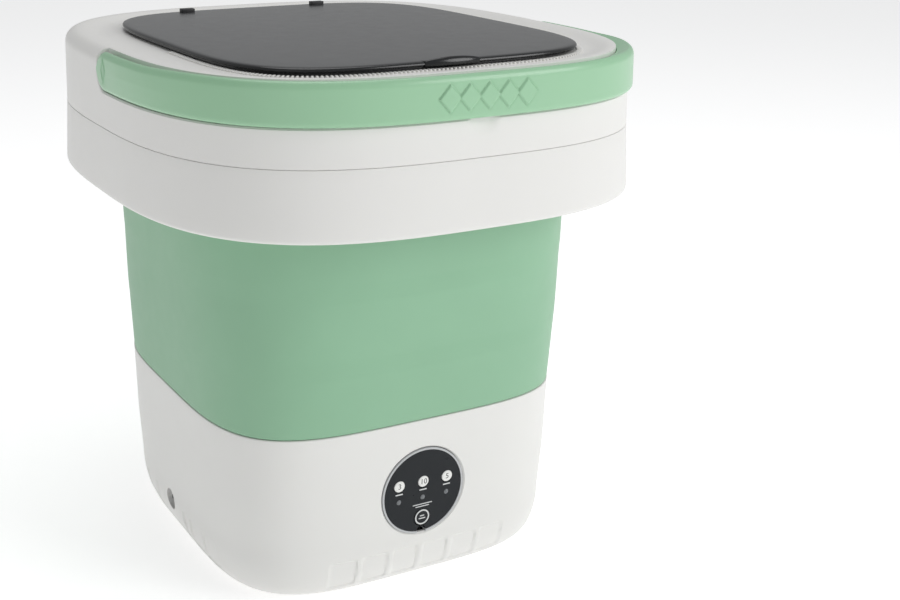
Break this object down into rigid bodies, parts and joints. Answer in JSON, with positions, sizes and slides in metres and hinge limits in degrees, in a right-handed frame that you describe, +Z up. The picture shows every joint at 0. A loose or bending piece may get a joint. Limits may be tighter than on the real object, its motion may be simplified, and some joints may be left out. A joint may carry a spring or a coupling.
{
  "type": "portable mini washer",
  "caption": "Collapsible tub washer with a square-round collar, fold-down carry handle, hinged lid, soft folding wall, drain basket and a motor base with a round control panel.",
  "frame": {"origin": "on the floor, under the middle of the tub's vertical axis, with the tub unfolded", "axes": "+Z up; -Y out of the front, where the control panel and the handle's grip are; +X to the viewer's right from the front"},
  "size_m": [0.3568, 0.4051, 0.368],
  "materials": {
    "white_abs": "fine matte texture",
    "mint_abs": "satin",
    "mint_tpe": "matte",
    "smoked_plastic": "polished",
    "black_gloss": "polished",
    "black_plastic": "matte",
    "grey_plastic": "satin",
    "button_white": "satin",
    "basket_plastic": "satin",
    "black_rubber": "matte",
    "grey_rubber": "matte",
    "steel": "brushed",
    "bronze": "turned",
    "circuit_board": "satin",
    "lens_plastic": "polished",
    "wire_red": "satin"
  },
  "bodies": {
    "base": {"base_shell": "white_abs", "bottom_cover": "white_abs", "rubber_feet": "black_rubber", "cover_screws": "steel", "tub_basin": "white_abs", "bead_retainer": "white_abs", "motor_can": "steel", "motor_bracket": "steel", "motor_screws": "steel", "drive_belt": "black_rubber", "shaft_bushes": "bronze", "shaft_seal": "black_rubber", "control_panel": "black_gloss", "panel_bezel": "grey_plastic", "control_board": "circuit_board", "indicator_lenses": "lens_plastic", "power_socket": "black_plastic", "wiring_loom": "wire_red", "drain_strainer": "grey_plastic", "drain_hose": "grey_rubber", "drain_outlet": "grey_plastic", "outlet_nut": "grey_plastic", "folding_wall": "mint_tpe"},
    "rotor": {"drive_shaft": "steel", "driven_pulley": "black_plastic", "circlip": "steel", "impeller": "grey_plastic", "impeller_screw": "steel", "basket_cup": "basket_plastic"},
    "basket_top": {"basket_ring": "basket_plastic"},
    "motor_rotor": {"motor_shaft": "steel", "motor_pulley": "black_plastic"},
    "collar": {"skirt_ring": "white_abs", "top_ring": "white_abs", "wall_clamp_ring": "white_abs", "collar_screws": "steel", "lid_bumpers": "black_rubber", "hinge_pins": "steel"},
    "lid": {"lid_panel": "smoked_plastic", "lid_seal": "black_rubber", "lid_hinge_arms": "black_plastic"},
    "handle": {"handle_band": "mint_abs", "handle_pins": "steel"},
    "key_3_min": {"button_3_min": "button_white"},
    "key_10_min": {"button_10_min": "button_white"},
    "key_5_min": {"button_5_min": "button_white"},
    "key_start": {"button_start": "black_gloss"},
    "plug": {"drain_plug": "grey_rubber"}
  },
  "joints": [
    {"name": "tub_fold", "type": "slide", "parent": "base", "child": "collar", "axis": [0, 0, -1], "range_m": [0, 0.205], "deforming": ["folding_wall"]},
    {"name": "lid_open", "type": "hinge", "parent": "collar", "child": "lid", "pos_m": [0, 0.15396, 0.3588], "axis": [-1, 0, 0], "range_deg": [0, 98]},
    {"name": "handle_swing", "type": "hinge", "parent": "collar", "child": "handle", "pos_m": [0, -0.014, 0.351], "axis": [-1, 0, 0], "range_deg": [0, 90]},
    {"name": "impeller_spin", "type": "hinge", "parent": "base", "child": "rotor", "pos_m": [0, 0, 0.03], "axis": [0, 0, 1], "continuous": true},
    {"name": "motor_spin", "type": "hinge", "parent": "base", "child": "motor_rotor", "pos_m": [0.062, 0.034, 0.02], "axis": [0, 0, 1], "continuous": true},
    {"name": "basket_collapse", "type": "slide", "parent": "rotor", "child": "basket_top", "axis": [0, 0, -1], "range_m": [0, 0.078]},
    {"name": "press_3_min", "type": "slide", "parent": "base", "child": "key_3_min", "axis": [0, 0.9981, 0.061], "range_m": [0, 0.0008], "stiffness_N_per_m": 900},
    {"name": "press_10_min", "type": "slide", "parent": "base", "child": "key_10_min", "axis": [0, 0.9981, 0.061], "range_m": [0, 0.0008], "stiffness_N_per_m": 900},
    {"name": "press_5_min", "type": "slide", "parent": "base", "child": "key_5_min", "axis": [0, 0.9981, 0.061], "range_m": [0, 0.0008], "stiffness_N_per_m": 900},
    {"name": "press_start", "type": "slide", "parent": "base", "child": "key_start", "axis": [0, 0.9981, 0.061], "range_m": [0, 0.0008], "stiffness_N_per_m": 900},
    {"name": "plug_pull", "type": "slide", "parent": "base", "child": "plug", "axis": [-1, 0, 0], "range_m": [0, 0.022]}
  ],
  "couplings": [
    {"joint": "motor_spin", "follows": "impeller_spin", "ratio": 5.5},
    {"joint": "basket_collapse", "follows": "tub_fold", "ratio": 0.38}
  ]
}
